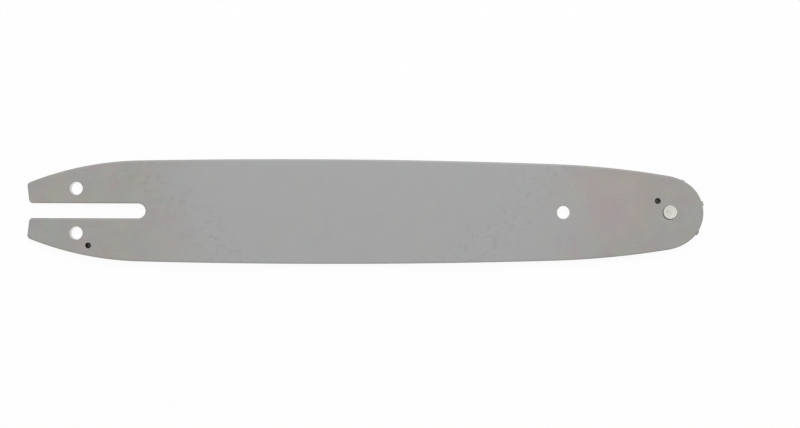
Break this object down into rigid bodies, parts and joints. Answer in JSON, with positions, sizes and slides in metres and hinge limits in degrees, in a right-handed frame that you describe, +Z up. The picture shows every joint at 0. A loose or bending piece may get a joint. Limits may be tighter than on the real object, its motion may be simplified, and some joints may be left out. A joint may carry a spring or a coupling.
{
  "type": "chainsaw guide bar",
  "caption": "Laminated chainsaw guide bar lying flat: outer plates on a core that leaves the chain groove, a slotted tail with tension and oil holes, and a riveted sprocket nose.",
  "frame": {"origin": "middle of the bar's length and width, on the outer face of the back plate, which lies on the floor", "axes": "+X along the bar from the tail to the nose, +Y across the bar, +Z up out of the front plate"},
  "size_m": [0.3623, 0.056, 0.004],
  "materials": {
    "bar_paint": "satin grey",
    "core_steel": "oiled, dark",
    "sprocket_steel": "hardened, satin",
    "bearing_steel": "ground",
    "rivet_steel": "peened and faced, bright"
  },
  "bodies": {
    "bar": {"front_side_plate": "bar_paint", "back_side_plate": "bar_paint", "core_plate": "core_steel", "bearing_race": "bearing_steel", "nose_rivet": "rivet_steel"},
    "sprocket": {"nose_sprocket": "sprocket_steel"},
    "rollers": {"bearing_roller_01": "bearing_steel", "bearing_roller_02": "bearing_steel", "bearing_roller_03": "bearing_steel", "bearing_roller_04": "bearing_steel", "bearing_roller_05": "bearing_steel", "bearing_roller_06": "bearing_steel", "bearing_roller_07": "bearing_steel", "bearing_roller_08": "bearing_steel", "bearing_roller_09": "bearing_steel", "bearing_roller_10": "bearing_steel", "bearing_roller_11": "bearing_steel", "bearing_roller_12": "bearing_steel", "bearing_roller_13": "bearing_steel", "bearing_roller_14": "bearing_steel", "bearing_roller_15": "bearing_steel", "bearing_roller_16": "bearing_steel", "bearing_roller_17": "bearing_steel", "bearing_roller_18": "bearing_steel", "bearing_roller_19": "bearing_steel", "bearing_roller_20": "bearing_steel", "bearing_roller_21": "bearing_steel", "bearing_roller_22": "bearing_steel", "bearing_roller_23": "bearing_steel", "bearing_roller_24": "bearing_steel", "bearing_roller_25": "bearing_steel", "bearing_roller_26": "bearing_steel"}
  },
  "joints": [
    {"name": "sprocket_spin", "type": "hinge", "parent": "bar", "child": "sprocket", "pos_m": [0.163, 0, 0.002], "axis": [0, 0, 1], "continuous": true},
    {"name": "roller_orbit", "type": "hinge", "parent": "bar", "child": "rollers", "pos_m": [0.163, 0, 0.002], "axis": [0, 0, 1], "continuous": true}
  ],
  "couplings": [
    {"joint": "roller_orbit", "follows": "sprocket_spin", "ratio": 0.56108}
  ]
}
